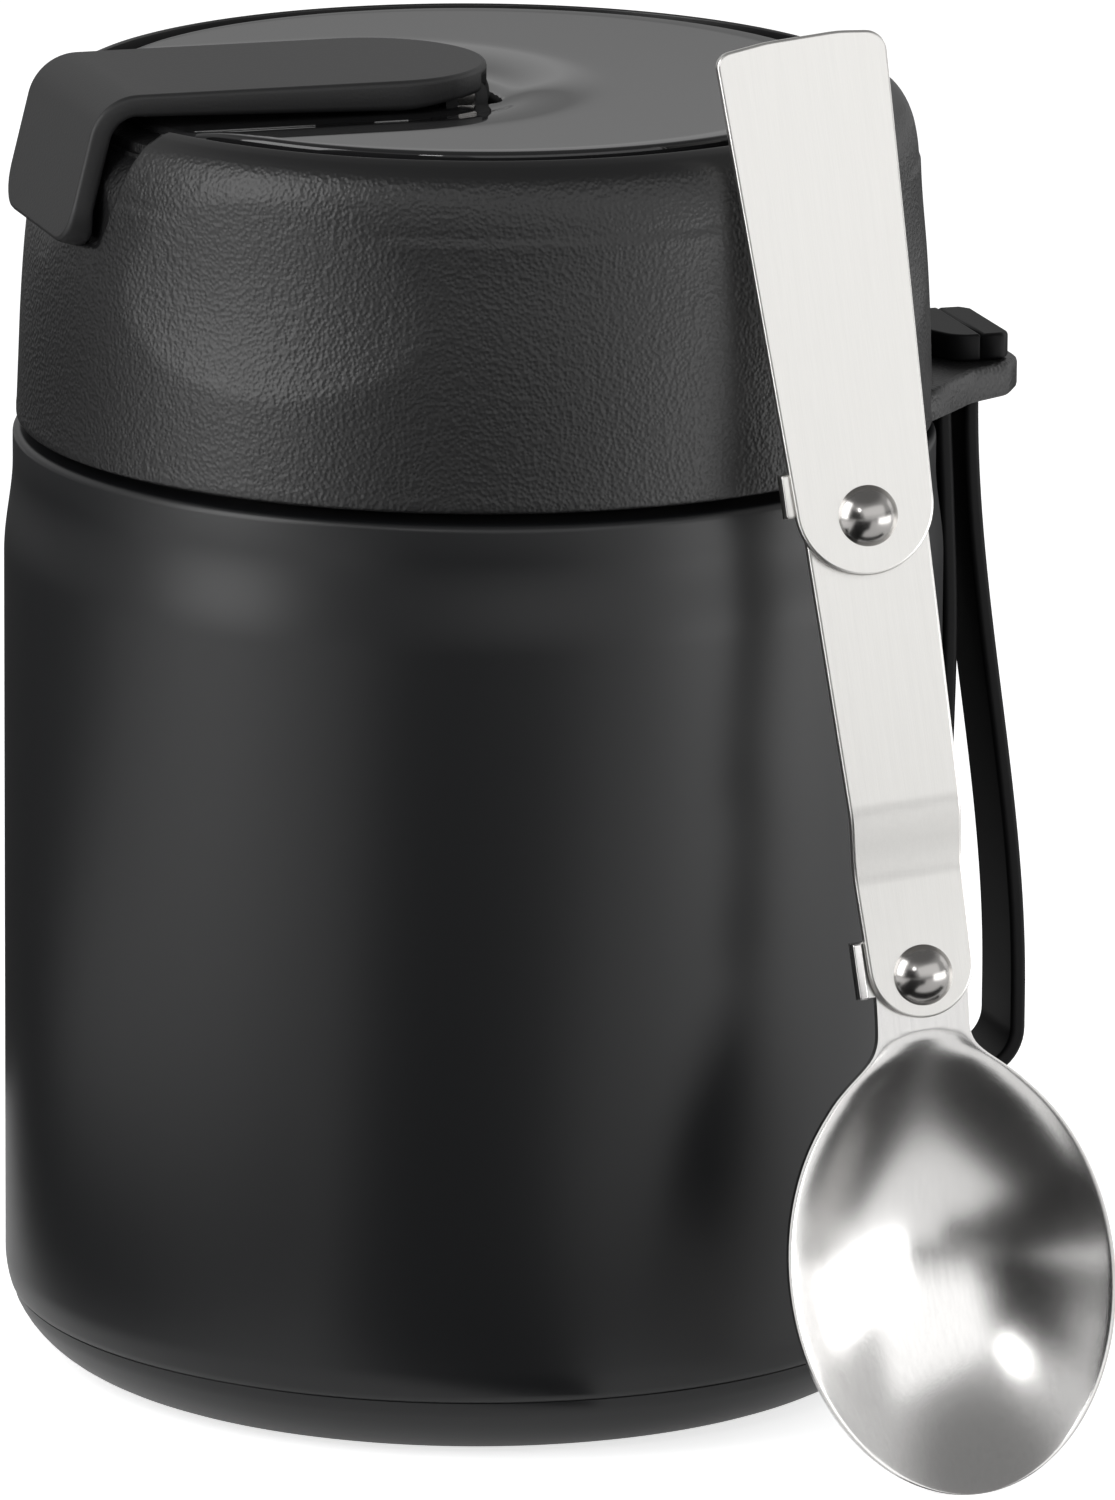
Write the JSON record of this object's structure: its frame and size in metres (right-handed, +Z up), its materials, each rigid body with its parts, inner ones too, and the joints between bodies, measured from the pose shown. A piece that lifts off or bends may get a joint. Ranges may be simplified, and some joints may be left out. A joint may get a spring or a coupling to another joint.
{
  "type": "insulated food jar",
  "caption": "Insulated food jar with screw lid, flip vent lever and carry strap, and a folding spoon leaning against it.",
  "frame": {"origin": "centre of the base, on the surface that the jar stands on", "axes": "+Z up along the jar's axis, +X towards the strap bracket, -X towards the lever's tab"},
  "size_m": [0.1069, 0.1155, 0.145],
  "materials": {
    "powder_coat": "fine satin powder coat",
    "vessel_steel": "satin",
    "pad_rubber": "matte",
    "getter_metal": "dull",
    "lid_plastic": "fine leather grain",
    "plate_gloss": "gloss",
    "stopper_plastic": "smooth",
    "foam_white": "closed-cell foam",
    "lever_plastic": "fine matte",
    "silicone_grey": "matte silicone",
    "silicone_black": "smooth silicone",
    "spoon_steel": "fine brushed along the length",
    "rivet_steel": "polished dome"
  },
  "bodies": {
    "jar": {"outer_shell": "powder_coat", "base_cap": "powder_coat", "bottom_disc": "pad_rubber", "inner_vessel": "vessel_steel", "vacuum_getter": "getter_metal", "mouth_ring": "vessel_steel", "neck_collar": "stopper_plastic"},
    "gasket": {"lid_gasket": "silicone_grey"},
    "lid": {"lid_shell": "lid_plastic", "inner_cap": "stopper_plastic", "lid_plate": "plate_gloss", "stopper_cup": "stopper_plastic", "stopper_cover": "stopper_plastic", "stopper_foam": "foam_white", "vent_sleeve": "silicone_grey", "lever_pin": "rivet_steel", "strap_head_outer": "silicone_black", "strap_head_inner": "silicone_black"},
    "lever": {"vent_lever": "lever_plastic", "vent_plug": "silicone_grey"},
    "strap": {"strap_loop": "silicone_black"},
    "bowl": {"spoon_bowl": "spoon_steel", "bowl_rivet": "rivet_steel"},
    "link": {"spoon_link": "spoon_steel", "handle_rivet": "rivet_steel"},
    "handle": {"spoon_handle": "spoon_steel"}
  },
  "joints": [
    {"name": "lid_off", "type": "slide", "parent": "jar", "child": "gasket", "axis": [0, 0, 1], "range_m": [0, 0.06]},
    {"name": "lid_turn", "type": "hinge", "parent": "gasket", "child": "lid", "pos_m": [0, 0, 0.11], "axis": [0, 0, 1], "range_deg": [0, 75]},
    {"name": "lever_flip", "type": "hinge", "parent": "lid", "child": "lever", "pos_m": [-0.003, 0, 0.1323], "axis": [0, 1, 0], "range_deg": [0, 90]},
    {"name": "strap_swing", "type": "hinge", "parent": "lid", "child": "strap", "pos_m": [0.0508, 0, 0.0957], "axis": [0, -1, 0], "range_deg": [0, 75]},
    {"name": "spoon_away", "type": "slide", "parent": "jar", "child": "bowl", "axis": [0.3, -0.9539, 0], "range_m": [0, 0.06]},
    {"name": "link_fold", "type": "hinge", "parent": "bowl", "child": "link", "pos_m": [0.0293, -0.05775, 0.0515], "axis": [0.06, 0.977, -0.2045], "range_deg": [0, 180]},
    {"name": "handle_fold", "type": "hinge", "parent": "link", "child": "handle", "pos_m": [0.0252, -0.04806, 0.09659], "axis": [0.06, 0.977, -0.2045], "range_deg": [0, 180]}
  ],
  "couplings": [
    {"joint": "spoon_away", "follows": "lid_off", "ratio": 1}
  ]
}
